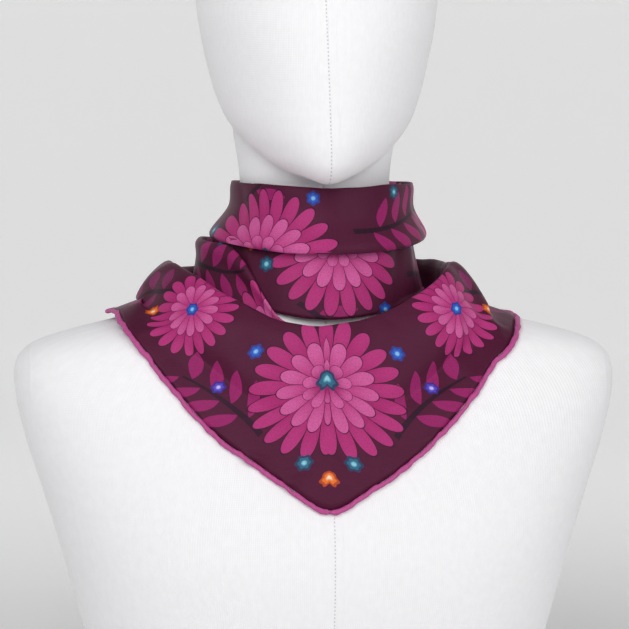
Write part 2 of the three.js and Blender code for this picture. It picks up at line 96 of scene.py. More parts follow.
# %% Tables and section curves
class Table:
    """Rows of sizes with named columns. A call gives a column's smooth value at any place."""

    def __init__(self, names, rows):
        self.names = names.split()
        self.columns = dict(zip(self.names, np.array(rows, float).T))
        self.x = self.columns[self.names[0]]

    def __call__(self, name, at):
        y = self.columns[name]
        gap = np.diff(self.x)
        slope = np.diff(y) / gap
        tangent = np.empty_like(y)
        tangent[0], tangent[-1] = slope[0], slope[-1]
        tangent[1:-1] = (gap[1:] * slope[:-1] + gap[:-1] * slope[1:]) / (gap[1:] + gap[:-1])
        at = np.clip(at, self.x[0], self.x[-1])
        i = np.clip(np.searchsorted(self.x, at, side="right") - 1, 0, len(gap) - 1)
        t = (at - self.x[i]) / gap[i]
        start = (2 * t**3 - 3 * t**2 + 1) * y[i] + (t**3 - 2 * t**2 + t) * gap[i] * tangent[i]
        end = (3 * t**2 - 2 * t**3) * y[i + 1] + (t**3 - t**2) * gap[i] * tangent[i + 1]
        return start + end


def section_curve(corners, per_stretch):
    """A smooth curve through the corners of each section, corners[section, corner, (r, z)]."""
    first = 2 * corners[:, :1] - corners[:, 1:2]
    last = 2 * corners[:, -1:] - corners[:, -2:-1]
    points = np.concatenate([first, corners, last], axis=1)
    steps = np.linalg.norm(np.diff(points, axis=1), axis=2)[:, :, None] ** 0.5
    rows = []
    for i in range(corners.shape[1] - 1):
        p0, p1, p2, p3 = (points[:, i + k] for k in range(4))
        d0, d1, d2 = (steps[:, i + k] for k in range(3))
        leave = d1 * ((p1 - p0) / d0 - (p2 - p0) / (d0 + d1) + (p2 - p1) / d1)
        arrive = d1 * ((p2 - p1) / d1 - (p3 - p1) / (d1 + d2) + (p3 - p2) / d2)
        for t in np.arange(per_stretch) / per_stretch:
            rows.append(
                (2 * t**3 - 3 * t**2 + 1) * p1 + (t**3 - 2 * t**2 + t) * leave
                + (3 * t**2 - 2 * t**3) * p2 + (t**3 - t**2) * arrive
            )
    rows.append(corners[:, -1])
    return np.stack(rows, axis=1)


def on_azimuth(azimuth, r, z):
    """Points in space from azimuths in degrees, radii and heights."""
    a = np.radians(azimuth)
    return np.stack([r * np.sin(a), -r * np.cos(a), z + 0 * a], axis=-1)


print("tables are ready")

# %% [markdown]
# ## The display bust
# The bust is a hollow shell covered with white stretch jersey. It has no arms and no face. Its
# torso and neck are level sections, each a rounded box, and its head is an egg that leans
# forward over the neck. A voxel remesh melts the two closed meshes into one skin, and a few
# rounds of smoothing round the corner under the jaw, as stretched jersey does.

# %% Sections of the bust
BUST = Table(
    "z side front back square",
    [
        (0, 139, 92, 76, 2.5),
        (50, 153.5, 108, 82, 2.5),
        (100, 167.5, 115, 86, 2.5),
        (140, 179.5, 108, 90, 2.6),
        (178, 191.5, 97, 91, 2.7),
        (205, 197, 87, 89, 2.8),
        (218, 197.5, 81, 85, 2.7),
        (228, 194, 76, 81, 2.6),
        (237, 181, 71.5, 77, 2.5),
        (243, 162, 68, 74, 2.4),
        (248, 142, 64.5, 70.5, 2.3),
        (255, 113, 61, 66.5, 2.2),
        (262, 87, 58, 63, 2.1),
        (271, 68, 55, 60, 2),
        (284, 56, 52.5, 58, 2),
        (300, 51.5, 50.5, 56.5, 2),
        (320, 49.5, 49, 56, 2),
        (345, 49.5, 49, 57, 2),
        (371, 53.5, 48, 58.5, 2),
        (405, 56, 44, 60, 2),
        (445, 48, 34, 54, 2),
    ],
)
HEAD = Table(
    "z side front back",
    [
        (341.5, 0, -66, -66),
        (343.5, 14, -81, -50),
        (349, 28, -92, -32),
        (360, 42, -99, -9),
        (376, 56.5, -102, 22),
        (395, 65.5, -104, 47),
        (420, 72.5, -106, 68),
        (450, 78, -106, 83),
        (480, 79.5, -105, 88),
        (510, 76.5, -97, 88),
        (535, 68, -83, 79),
        (555, 53.5, -62, 62),
        (568, 35, -38, 42),
        (574, 17, -16, 20),
        (576, 0, 2, 2),
    ],
)


def bust_radius(azimuth, z):
    """How far the bust's skin is from the neck's axis."""
    a = np.radians(azimuth)
    front = np.cos(a) > 0
    depth = np.where(front, BUST("front", z), BUST("back", z))
    power = BUST("square", z)
    side = np.abs(np.sin(a)) / BUST("side", z)
    return 1 / (side**power + (np.abs(np.cos(a)) / depth) ** power) ** (1 / power)


def clear_of_bust(azimuth, points, clearance):
    """Section points (r, z), moved out along the bust's slope until they are clear of it."""
    r, z = points[..., 0].copy(), points[..., 1].copy()
    for _ in range(3):
        slope = (bust_radius(azimuth, z + 1) - bust_radius(azimuth, z - 1)) / 2
        length = np.hypot(1, slope)
        short = np.maximum(0, clearance - (r - bust_radius(azimuth, z)) / length)
        r = r + short / length
        z = z - short * slope / length
    return np.stack([r, z], axis=-1)


print("bust is", round(2 * float(BUST("side", 212))), "mm wide at the shoulders")

# %% [markdown]
# ## From sections to a mesh
# A mesh can be pushed about by hand, or be written as points and faces. A written one comes out
# the same on each run, and its sizes can be read in the script. So sections become meshes here
# by a loft, which joins each ring of points to the next one with four-sided faces.

# %% Mesh helpers
def new_object(name, verts, faces):
    """A mesh object from points in millimetres and faces."""
    mesh = bpy.data.meshes.new(name)
    mesh.from_pydata((np.asarray(verts) * MM).tolist(), [], faces)
    mesh.update()
    obj = bpy.data.objects.new(name, mesh)
    bpy.context.scene.collection.objects.link(obj)
    mesh.shade_smooth()
    return obj


def loft(name, rings, bottom, top):
    """A closed mesh through rings of points from the bottom up."""
    count, around = rings.shape[:2]
    verts = [*rings.reshape(-1, 3), bottom, top]
    faces = []
    for i in range(around):
        j = (i + 1) % around
        for k in range(count - 1):
            low, high = k * around, (k + 1) * around
            faces.append((low + i, low + j, high + j, high + i))
        faces.append((len(verts) - 2, j, i))
        faces.append((len(verts) - 1, (count - 1) * around + i, (count - 1) * around + j))
    return new_object(name, verts, faces)


def apply_modifiers(obj):
    """Bakes an object's modifiers into its mesh."""
    graph = bpy.context.evaluated_depsgraph_get()
    made = bpy.data.meshes.new_from_object(obj.evaluated_get(graph))
    obj.modifiers.clear()
    obj.data = made
    obj.data.shade_smooth()


print("mesh helpers are ready")

# %% Mesh of the bust
AROUND = 160
BASE_EDGE = 1.5  # the bottom edge is rounded in by this
VOXEL = 3.2
HEAD_BOTTOM, HEAD_TOP = (0, -66, 341.5), (0, 2, 576)
CHIN_NARROWING = 0.26  # the jaw is narrower in front than behind
CHIN_POINT, CHIN_WIDTH = 5.5, 27  # how far its middle reaches down, and how wide that is

turn = np.linspace(0, 360, AROUND, endpoint=False)
heights = np.concatenate([[0, 2], np.arange(6, 445, 3)])
rings = [on_azimuth(turn, bust_radius(turn, z) - (BASE_EDGE if z == 0 else 0), z) for z in heights]
bust = loft("bust_skin", np.stack(rings), (0, 0, 0), (0, 0, heights[-1]))

a = np.radians(turn)
rounding = (1 + np.cos(np.linspace(0.02, math.pi - 0.02, 90))) / 2  # closer together at the ends
egg = []
for z in HEAD_TOP[2] - (HEAD_TOP[2] - HEAD_BOTTOM[2]) * rounding:
    middle = (HEAD("front", z) + HEAD("back", z)) / 2
    depth = (HEAD("back", z) - HEAD("front", z)) / 2
    chin = CHIN_NARROWING * np.clip((440 - z) / 90, 0, 1)
    side = HEAD("side", z) * np.sin(a) * (1 - chin * np.cos(a))
    low_in_front = np.clip((384 - z) / 36, 0, 1) * np.clip(np.cos(a), 0, 1)
    point = CHIN_POINT * np.exp(-((side / CHIN_WIDTH) ** 2)) * low_in_front
    egg.append(np.stack([side, middle - depth * np.cos(a), z - point], -1))
head = loft("head", np.stack(egg), HEAD_BOTTOM, HEAD_TOP)

bust.modifiers.new("head", "BOOLEAN").object = head
bust.modifiers["head"].operation = "UNION"
bust.modifiers["head"].solver = "EXACT"
remesh = bust.modifiers.new("skin", "REMESH")
remesh.mode = "VOXEL"
remesh.voxel_size = VOXEL * MM
soften = bust.modifiers.new("soften", "SMOOTH")
soften.factor = 0.6
soften.iterations = 8
apply_modifiers(bust)
bpy.data.objects.remove(head)
print("bust has", len(bust.data.polygons), "faces")

# %% [markdown]
# ## Cloth shells
# Silk twill is a fifth of a millimetre thick, so each stretch of the scarf is a thin shell about
# its middle surface. The surface is a grid: columns go round the neck, rows go from one edge of
# the cloth to the other. Each grid point also gets its place on the flat cloth, measured along
# the surface, and those two numbers are kept as a UV map. The print and the weave read that
# map, so they follow the cloth round its folds as real dye does.

# %% Shell from a grid
EDGE_STEPS = (0, 0.01, 0.01, 0)  # across an edge's strip of the bake map
SILK = 0.5  # a little thicker than real silk, so that its edge shows


def unit(vectors):
    return vectors / np.maximum(np.linalg.norm(vectors, axis=-1, keepdims=True), 1e-9)


def grid_normals(grid, ring):
    """Outward normals of a grid of points, grid[column, row, xyz]."""
    if ring:
        across = np.roll(grid, -1, 0) - np.roll(grid, 1, 0)
    else:
        across = np.gradient(grid, axis=0)
    return unit(np.cross(np.gradient(grid, axis=1), across))


def cloth_shell(name, grid, flat, ring=False, thickness=SILK):
    """A closed thin shell about a grid, with the flat cloth's places as its UV map.

    On a ring, flat has one column more than the grid, for the place where the ring closes. Each
    side of the cloth has its own half of the bake map, and its thin edges have strips beside.
    """
    columns, rows = grid.shape[:2]
    half = grid_normals(grid, ring) * thickness / 2
    verts = np.concatenate([(grid + half).reshape(-1, 3), (grid - half).reshape(-1, 3)])
    last = columns if ring else columns - 1
    faces, corners, bake = [], [], []

    def quad(places, on_bake):
        faces.append([(side * columns + c % columns) * rows + r for c, r, side in places])
        corners.extend((c, r) for c, r, _ in places)
        bake.extend(on_bake)

    def bake_x(column):
        return 0.03 + 0.94 * column / last

    def bake_y(row):
        return 0.04 + 0.42 * row / (rows - 1)

    for c in range(last):
        for r in range(rows - 1):
            for side in (0, 1):
                places = [(c, r, side), (c, r + 1, side), (c + 1, r + 1, side), (c + 1, r, side)]
                places = places[::-1] if side else places
                quad(places, [(bake_x(i), bake_y(j) + 0.5 * side) for i, j, _ in places])
        for r, first in ((0, 1), (rows - 1, 0)):
            places = [(c, r, first), (c, r, 1 - first), (c + 1, r, 1 - first), (c + 1, r, first)]
            strip = 0.01 if r == 0 else 0.48
            quad(places, [(bake_x(i), strip + step) for step, (i, _, _) in zip(EDGE_STEPS, places)])
    for c, first in () if ring else ((0, 0), (last, 1)):
        for r in range(rows - 1):
            places = [(c, r, first), (c, r, 1 - first), (c, r + 1, 1 - first), (c, r + 1, first)]
            strip = 0.005 if c == 0 else 0.98
            quad(places, [(strip + step, bake_y(j)) for step, (_, j, _) in zip(EDGE_STEPS, places)])
    obj = new_object(name, verts, faces)
    places = np.array(corners)
    add_map(obj, "Cloth", flat[places[:, 0], places[:, 1]] * MM)
    add_map(obj, "OFBake", np.array(bake))
    return obj


def add_map(obj, name, uv):
    layer = obj.data.uv_layers.new(name=name)
    layer.data.foreach_set("uv", uv.astype(np.float32).ravel())


def lengths(grid, axis):
    """Running length along one axis of a grid, from nothing at its start."""
    steps = np.linalg.norm(np.diff(grid, axis=axis), axis=-1)
    zero = np.zeros_like(np.take(steps, [0], axis=axis))
    return np.concatenate([zero, np.cumsum(steps, axis=axis)], axis=axis)


print("one layer of silk is", SILK, "mm here")

# %% [markdown]
# ## Folds
# A fold in soft silk is a low rounded ridge or trough that starts somewhere, runs slantwise and
# fades. Each one here is a row of a table: where it starts and ends on the cloth, how high it
# is and how wide. No two are alike, and they fade at both ends, because even rows of equal
# folds look like a curtain and not like a scarf.

# %% Ridges and troughs
def ridges(rows, azimuth, fall):
    """Height of the folds at each place. A row is start azimuth and fall, end, height, width."""
    height = np.zeros(np.broadcast(azimuth, fall).shape)
    for az0, fall0, az1, fall1, tall, width in rows:
        along = np.clip((fall - fall0) / (fall1 - fall0), -0.2, 1.2)
        off = (azimuth - (az0 + (az1 - az0) * along)) / width
        fade = np.clip(np.sin(np.pi * np.clip((along + 0.2) / 1.4, 0, 1)), 0, 1) ** 1.2
        height += tall * np.exp(-(off**2)) * fade
    return height


def creases(rows, flat):
    """Height of the creases at each flat place. A row is both ends, a height and a half width."""
    height = np.zeros(flat.shape[:-1])
    for x0, y0, x1, y1, tall, width in rows:
        start, reach = np.array([x0, y0]), np.array([x1 - x0, y1 - y0])
        along = (flat - start) @ reach / (reach @ reach)
        nearest = start + np.clip(along, 0, 1)[..., None] * reach
        off = np.linalg.norm(flat - nearest, axis=-1) / width
        height += tall * np.exp(-(off**2)) * np.sin(np.pi * np.clip(0.15 + 0.7 * along, 0.02, 0.98))
    return height


def ripples(flat, seed, height=0.5):
    """A soft uneven swell over the cloth, from a few waves that cross each other."""
    chance = np.random.default_rng(seed)
    total = np.zeros(flat.shape[:-1])
    for pitch in (70, 43, 27):
        way, phase = chance.uniform(0, TAU, 2)
        total += np.sin(TAU * (flat @ [math.cos(way), math.sin(way)]) / pitch + phase) * pitch / 70
    return height * total


def pressed(grid, flat, rows, seed, ring=False, height=0.5):
    """The grid with its creases and its swell, moved along its own normals."""
    rise = creases(rows, flat) + ripples(flat, seed, height)
    return grid + grid_normals(grid, ring) * np.maximum(rise, -0.5)[..., None]


print("folds are ready")

# %% [markdown]
# ## The front drape
# This is the stretch that shows most: one corner of the square lies on the chest, and above it
# the cloth rolls outwards as a soft cowl with its rim turned in. A cloth simulation would let
# it fall, but a scarf on a display is pulled and patted into place. So its outline stands in a
# table, and the flat cloth is worked out from lengths on the surface, from the point upwards.

# %% Sections of the front drape
DRAPE = Table(
    "az rimR rimZ outR outZ midR midZ landZ landUp hemZ hemUp",
    [
        (-171, 76, 297, 80, 292, 80.5, 280, 270, 0, 263, 0),
        (-155, 79, 296, 84, 290, 86, 276, 266, 0, 257, 0),
        (-135, 85, 285.5, 91.5, 282, 96, 270, 259, 0, 252, 0),
        (-112, 92, 282, 103, 277.5, 111, 267, 257, 3, 251.5, 2),
        (-92, 95, 287, 107.5, 279, 116.5, 265, 257, 9, 250.2, 6),
        (-76, 94.5, 285.5, 108, 277, 117.5, 261, 252, 11, 248.2, 7.5),
        (-64, 92, 280, 104.5, 273, 116, 254, 242, 7.5, 237.5, 5.5),
        (-53, 90, 272.5, 100, 264.5, 111, 244, 232, 2, 216.4, 1),
        (-36, 86.5, 262.3, 94, 254.5, 103.5, 227, 208, 0, 180.4, 0),
        (-25, 83.5, 253.8, 89, 248, 97.5, 215, 192, 0, 165, 0),
        (-14, 81.5, 250.5, 86, 243.5, 94.5, 208, 182, 0, 150, 0),
        (-1.5, 81, 248.8, 85, 242, 93.5, 205, 178, 0, 136.6, 0),
        (11, 82, 251.5, 86.5, 244.5, 94.5, 208, 180, 0, 148, 0),
        (24, 86, 257.5, 91.5, 250, 99, 216, 193, 0, 163.6, 0),
        (37, 91, 266.4, 98.5, 258, 105.5, 229, 210, 0, 184.8, 0),
        (47, 94, 274, 102, 265.5, 110.5, 240, 225, 0, 205.5, 0),
        (56, 93.5, 281.5, 102, 273.5, 113.5, 251, 234, 2, 226, 0),
        (66, 91.5, 285.5, 101, 276.5, 112.5, 259, 248, 6, 241, 1),
        (80, 88.5, 286.5, 99, 277.5, 110.5, 264, 255, 6, 250, 1.5),
        (96, 87, 286, 98, 278, 110, 265, 257, 3, 251.8, 0),
        (115, 85.5, 286.5, 95, 280, 103.5, 266, 257.5, 0, 251.5, 0),
        (135, 82, 289, 88.5, 283, 92.5, 269, 259.5, 0, 251, 0),
        (155, 78, 293, 83, 288, 85, 276, 266, 0, 257, 0),
        (171, 76, 297, 80, 292, 80.5, 280, 270, 0, 263, 0),
    ],
)
TIP_AZ = -1.5
DRAPE_END_AZ = 171
TURN_IN_RADIUS, TURN_IN_FRONT, TURN_IN_SIDE = 4.6, 9, 24
REST = 1.2  # from the bust's skin to the middle of the cloth that lies on it
TO_HEM = 1.6  # the cloth goes on a little to where its rolled hem begins
DRAPE_FOLDS = [  # start azimuth and fall, end azimuth and fall, height, width
    (-118, 0.0, -110, 1.0, 2.6, 6),
    (-143, 0.0, -136, 1.0, -2.2, 7),
    (-84, 0.0, -80, 1.0, 1.8, 6),
    (75, 0.0, 61, 1.0, 4.6, 4.5),
    (88, 0.0, 73, 1.0, -2.4, 6),
    (104, 0.0, 97, 1.0, 2.4, 6),
    (128, 0.0, 121, 1.0, 2.8, 6),
    (146, 0.0, 141, 1.0, -2.0, 6),
]
DRAPE_CREASES = [  # both ends on the flat cloth, measured from its tip, height, half width
    (-98, 82, -64, 66, 2.2, 2.2),
    (-92, 72, -64, 58, 1.6, 1.8),
    (-66, 52, -34, 40, 2.0, 2.0),
    (-54, 42, -30, 30, 1.4, 1.8),
    (34, 26, 54, 48, 1.8, 2.4),
    (22, 14, 36, 34, 1.2, 2),
    (-30, 20, -12, 26, 1.6, 2),
    (126, 131, 92, 150, 1.6, 4),
    (118, 122, 86, 136, -1, 4),
    (92, 150, 84, 104, 1.3, 4.5),
    (78, 146, 74, 112, -0.9, 4),
    (44, 34, 62, 60, 0.8, 4),
    (24, 20, 30, 48, 0.6, 4),
    (-120, 124, -92, 140, 1.1, 4),
]
PER_STRETCH = 14  # rows of points from one corner of a section to the next


def drape_sections(azimuth, per_stretch=PER_STRETCH):
    """Sections (r, z) of the drape, from inside its hollow over the rim to the hem."""
    at = {name: DRAPE(name, azimuth) for name in DRAPE.names[1:]}
    frontness = np.maximum(0, np.cos(np.radians(azimuth))) ** 2
    turn_in = TURN_IN_SIDE + (TURN_IN_FRONT - TURN_IN_SIDE) * frontness
    corners = np.stack(
        [
            np.stack([at["rimR"] - TURN_IN_RADIUS, at["rimZ"] - turn_in], -1),
            np.stack([at["rimR"], at["rimZ"]], -1),
            np.stack([at["outR"], at["outZ"]], -1),
            np.stack([at["midR"], at["midZ"]], -1),
            np.stack([bust_radius(azimuth, at["landZ"]), at["landZ"] + at["landUp"]], -1),
            np.stack([bust_radius(azimuth, at["hemZ"]), at["hemZ"] + at["hemUp"]], -1),
        ],
        axis=1,
    )
    points = section_curve(corners, per_stretch)
    points[:, -1] += unit(points[:, -1] - points[:, -2]) * TO_HEM
    stretch = np.arange(points.shape[1]) / per_stretch
    fall = np.clip((stretch - 1) / 4, 0, 1)[None, :]
    points[..., 0] += ridges(DRAPE_FOLDS, azimuth[:, None], fall)
    return clear_of_bust(azimuth[:, None], points, REST)


def even_azimuths(start, end, columns):
    """Azimuths that are evenly spaced on the cloth, midway between its rim and its hem."""
    fine = np.linspace(start, end, 400)
    sections = drape_sections(fine, 1)[:, [1, -1]]
    places = on_azimuth(fine[:, None], sections[..., 0], sections[..., 1])
    reach = lengths(places, 0).sum(axis=1)
    return np.interp(np.linspace(0, reach[-1], columns + 1), reach, fine)


print("the drape's table has", len(DRAPE.x), "sections")

# %% Mesh of the front drape
COLUMNS_EACH_SIDE = 190

left = even_azimuths(-DRAPE_END_AZ, TIP_AZ, COLUMNS_EACH_SIDE)
right = even_azimuths(TIP_AZ, DRAPE_END_AZ, COLUMNS_EACH_SIDE)[1:]
drape_az = np.concatenate([left, right])
sections = drape_sections(drape_az)
drape_grid = on_azimuth(drape_az[:, None], sections[..., 0], sections[..., 1])

hem_run = lengths(drape_grid[:, -1], 0)
hem_run -= hem_run[len(left) - 1]
rim_run = lengths(drape_grid[:, PER_STRETCH], 0)
rim_run -= rim_run[len(left) - 1]
down = lengths(drape_grid, 1)
up = down[:, -1:] - down
hem_x, hem_y = hem_run / math.sqrt(2), np.abs(hem_run) / math.sqrt(2)
lean = (rim_run - hem_x)[:, None] * up / up[:, PER_STRETCH][:, None]
rise = np.sqrt(np.maximum(up**2 - lean**2, 0))
drape_flat = np.stack([hem_x[:, None] + lean, hem_y[:, None] + rise], -1)

drape_grid = pressed(drape_grid, drape_flat, DRAPE_CREASES, seed=3)
front_drape = cloth_shell("front_drape_silk", drape_grid, drape_flat)
print("front drape:", len(front_drape.data.polygons), "faces, hem", round(float(np.ptp(hem_run))), "mm")

# %% [markdown]
# ## The side fold and the two neck bands
# Behind the drape's rim the cloth turns up into a small loop on the left, and its two ends are
# wound round the neck. The lower band is loose and soft. The upper one is folded double, so its
# lower edge is crisp and its top rolls in. All three are sections that change round the neck.

# %% Side fold
SIDE_FOLD = Table(
    "az topR topZ lowR lowZ turn",
    [
        (-150, 70.4, 300, 71, 286, 0.28),
        (-122, 74, 303, 77, 281, 0.28),
        (-97, 76.5, 304, 80.5, 275, 0.28),
        (-76, 75.4, 302, 81, 269, 0.24),
        (-58, 68.4, 297, 79.5, 261, 0.12),
        (-43, 68.6, 281.5, 77, 253, 0.08),
        (-33, 71, 266, 75.5, 249, 0.08),
        (-25, 72.2, 254, 75, 245, 0.08),
        (-20, 72.8, 250, 75, 243.5, 0.08),
    ],
)
SIDE_FOLD_CREASES = [  # as the creases of the drape
    (60, 22, 120, 6, 0.9, 3),
    (50, 12, 110, 2, -0.7, 2.5),
    (70, 30, 140, 18, 0.7, 3),
]

fold_az = np.linspace(-150, -20, 130)
at = {name: SIDE_FOLD(name, fold_az) for name in SIDE_FOLD.names[1:]}
tall = at["topZ"] - at["lowZ"]
turned = at["turn"] * tall
corners = np.stack(
    [
        np.stack([at["topR"] - 0.4 * turned, at["topZ"] - turned], -1),
        np.stack([at["topR"] - 0.14 * turned, at["topZ"] - 0.14 * turned], -1),
        np.stack([at["topR"] + 0.05 * tall, at["topZ"] - 0.12 * tall], -1),
        np.stack([at["topR"] + 0.055 * tall, at["topZ"] - 0.42 * tall], -1),
        np.stack([at["lowR"], at["lowZ"]], -1),
    ],
    axis=1,
)
points = clear_of_bust(fold_az[:, None], section_curve(corners, 10), REST)
fold_grid = on_azimuth(fold_az[:, None], points[..., 0], points[..., 1])
fold_down = lengths(fold_grid, 1)
fold_along = lengths(fold_grid[:, 20], 0)[:, None] + 0 * fold_down
fold_flat = np.stack([fold_down[:, -1:] - fold_down, fold_along], -1)
fold_grid = pressed(fold_grid, fold_flat, SIDE_FOLD_CREASES, seed=5, height=0.2)
side_fold = cloth_shell("side_fold_silk", fold_grid, fold_flat + [4, 60])
print("side fold:", len(side_fold.data.polygons), "faces")

# %% Lower and upper band
LOWER_BAND = Table(
    "az topR topZ waistR waistZ lowR lowZ",
    [
        (-180, 60.5, 314, 65.5, 295, 67.5, 276),
        (-135, 58, 314, 64.5, 295, 67, 276),
        (-90, 54, 313, 63.5, 296, 68, 276),
        (-60, 54.5, 313, 64.5, 290, 69, 270),
        (-30, 56.5, 313, 65, 283, 69.5, 257.5),
        (0, 58, 313, 66, 281, 71.5, 252.4),
        (30, 60, 313, 67, 281, 71, 256),
        (60, 61, 313, 67, 284, 71.5, 263),
        (90, 61, 313, 66.5, 288, 71.5, 270),
        (135, 60.5, 314, 66.5, 294, 67.5, 275),
        (180, 60.5, 314, 65.5, 295, 67.5, 276),
    ],
)
LOWER_BAND_FOLDS = [  # as the folds of the drape
    (52, 0.0, 44, 1.0, -1.4, 5),
    (66, 0.0, 60, 1.0, 1.3, 5),
    (118, 0.0, 126, 1.0, -1.2, 7),
    (-128, 0.0, -136, 1.0, 1.2, 7),
    (36, 0.1, 30, 0.9, 0.7, 4),
    (-52, 0.1, -40, 1.0, 0.7, 5),
    (80, 0.0, 76, 1.0, -0.8, 4),
]
UPPER_BAND = Table(
    "az topR topZ waistR waistZ foldR foldZ",
    [
        (-180, 61.4, 340.5, 65, 325, 71, 304),
        (-135, 58.5, 340.5, 61, 325, 70.5, 304.5),
        (-96, 54.6, 340, 56.2, 324, 69, 303.5),
        (-75, 54.6, 339.5, 56.2, 323, 69, 301.7),
        (-50, 56, 338.5, 58, 320, 69, 298.5),
        (-25, 58, 337, 60.5, 317, 69.5, 295.5),
        (0, 60, 335.8, 63, 316, 70.5, 294),
        (25, 62, 336.5, 64.5, 317, 71.5, 295),
        (50, 63.5, 338, 65, 320, 72.5, 298),
        (75, 64.8, 338.5, 65.2, 322, 73.6, 302),
        (96, 64.8, 339, 65.3, 323, 73.6, 304),
        (135, 63.5, 340, 65.3, 325, 72.5, 304.5),
        (180, 61.4, 340.5, 65, 325, 71, 304),
    ],
)
UPPER_BAND_FOLDS = [  # as the folds of the drape
    (-66, 0.3, -48, 1.0, -0.8, 6),
    (70, 0.2, 60, 0.9, 0.7, 5),
    (82, 0.2, 76, 1.0, -0.9, 5),
    (-130, 0.2, -120, 1.0, 0.8, 7),
    (140, 0.2, 128, 1.0, -0.8, 7),
]


def band(name, table, corners_at, per_stretch, folds, flat_at, seed):
    """A closed ring of cloth round the neck from a table of its sections, and its flat cloth."""
    azimuth = np.linspace(-180, 180, 241)
    at = {column: table(column, azimuth) for column in table.names[1:]}
    corners = np.stack([np.stack(corner, -1) for corner in corners_at(at)], axis=1)
    points = section_curve(corners, per_stretch)
    fall = np.linspace(0, 1, points.shape[1])[None, :]
    points[..., 0] += ridges(folds, azimuth[:, None], fall)
    points = clear_of_bust(azimuth[:, None], points, REST)
    grid = on_azimuth(azimuth[:, None], points[..., 0], points[..., 1])
    along = lengths(grid[:, points.shape[1] // 2], 0)
    along -= along[120]
    flat = flat_at(lengths(grid, 1), along[:, None])
    grid = pressed(grid, flat, [], seed, height=0.25)
    return cloth_shell(name, grid[:-1], flat, ring=True), flat


def halfway(start, end, share):
    return start + (end - start) * share


lower_band, lower_flat = band(
    "lower_band_silk",
    LOWER_BAND,
    lambda at: [
        (at["topR"], at["topZ"]),
        (halfway(at["topR"], at["waistR"], 0.6), halfway(at["topZ"], at["waistZ"], 0.5)),
        (at["waistR"], at["waistZ"]),
        (at["lowR"], at["lowZ"]),
    ],
    12,
    LOWER_BAND_FOLDS,
    lambda down, along: np.stack([down - 14 + 0 * along, 74 + along + 0 * down], -1),
    seed=11,
)
upper_band, upper_flat = band(
    "upper_band_silk",
    UPPER_BAND,
    lambda at: [
        (at["topR"] - 1.6, at["topZ"] - 5),
        (at["topR"] - 0.5, at["topZ"]),
        (at["topR"] + 0.4, at["topZ"] - 3),
        (at["waistR"], at["waistZ"]),
        (at["foldR"], at["foldZ"] + 3),
        (at["foldR"] - 0.6, at["foldZ"]),
        (at["foldR"] - 1.4, at["foldZ"] + 4),
    ],
    8,
    UPPER_BAND_FOLDS,
    lambda down, along: np.stack([54 - down + 0 * along, 120 + along + 0 * down], -1),
    seed=12,
)
print("bands:", len(lower_band.data.polygons), "and", len(upper_band.data.polygons), "faces")

# %% [markdown]
# ## Knot and tails at the nape
# The photograph doesn't show the back, so it is finished the plain way that such a scarf is
# tied: a small flat knot with two short tails. A knot is one band of cloth that wraps the
# others, which shows as pleats that run slantwise from end to end and are pinched at the ends.

# %% Knot
KNOT = {"width": 38, "depth": 19, "height": 27, "centre": 282, "radius": 88.4}

across = np.linspace(-1, 1, 61)[1:-1]
around = np.linspace(0, TAU, 96, endpoint=False)
pleat = (
    0.055 * np.sin(5 * around[None, :] + 3.2 * across[:, None])
    + 0.03 * np.sin(9 * around[None, :] - 2.1 * across[:, None] + 1.3)
)
girth = (1 - np.abs(across[:, None]) ** 3.2) ** 0.5 * (1 + pleat * (1 - across[:, None] ** 6))
waist = 1 - 0.10 * np.exp(-((across[:, None] / 0.33) ** 2))
knot_rings = np.stack(
    [
        across[:, None] * KNOT["width"] / 2 + 0 * around,
        KNOT["radius"] + girth * waist * np.cos(around) * KNOT["depth"] / 2,
        KNOT["centre"] + girth * waist * np.sin(around) * KNOT["height"] / 2,
    ],
    -1,
)
ends = [(side * KNOT["width"] / 2, KNOT["radius"], KNOT["centre"]) for side in (-1, 1)]
knot = loft("nape_knot_silk", knot_rings, *ends)
knot_places = {v.index: v.co / MM for v in knot.data.vertices}
knot_uv = [
    (knot_places[i].z - KNOT["centre"] + 24, knot_places[i].x + 84)
    for face in knot.data.polygons
    for i in face.vertices
]
add_map(knot, "Cloth", np.array(knot_uv) * MM)
print("knot:", len(knot.data.polygons), "faces")

# %% Tails
TAIL = Table(
    "along az z half radius",
    [
        (0, 7, 266.2, 7.5, 87),
        (0.2, 10, 252, 12, 86),
        (0.45, 14, 240, 16.5, 85),
        (0.7, 20, 221, 17, 87),
        (1, 26.5, 196, 0.8, 89),
    ],
)


def tail(name, hand):
    """One tail as a shell, its flat cloth, and the two edges of the square that it ends in."""
    along, off = np.linspace(0, 1, 61)[:, None], np.linspace(-1, 1, 33)[None, :]
    at = {column: TAIL(column, along) for column in TAIL.names[1:]}
    z = at["z"] + hand * 0.34 * off * at["half"]
    az = 180 - hand * at["az"] + np.degrees(off * at["half"] * 0.94 / at["radius"])
    pleats = 1.1 * np.cos(off * 3.4 * np.pi + 0.8 * hand) * (1 - along) ** 1.4
    r = at["radius"] + 2.2 * np.cos(off * np.pi) * (1 - along) + pleats + 0 * off
    points = clear_of_bust(az, np.stack([r, z], -1), REST)
    grid = on_azimuth(az, points[..., 0], points[..., 1])
    down = lengths(grid, 0)
    flat = np.stack([off * at["half"], down[-1:, :] - down + 4], -1)
    grid = pressed(grid, flat, [], seed=20 + hand, height=0.2)
    return cloth_shell(name, grid, flat), flat, [grid[24:, 0], grid[24:, -1]]


tails = {hand: tail(f"tail_{side}_silk", hand) for side, hand in (("left", 1), ("right", -1))}
print("tails:", [len(obj.data.polygons) for obj, *_ in tails.values()], "faces")

# %% [markdown]
# ## Rolled hem
# A silk square's edge is rolled by hand round a core of its own cloth and caught with small
# stitches. The roll is full and never quite even: it swells between the stitches and wanders
# a little. So the hem is a tube whose section changes along its run, made from rings of points.

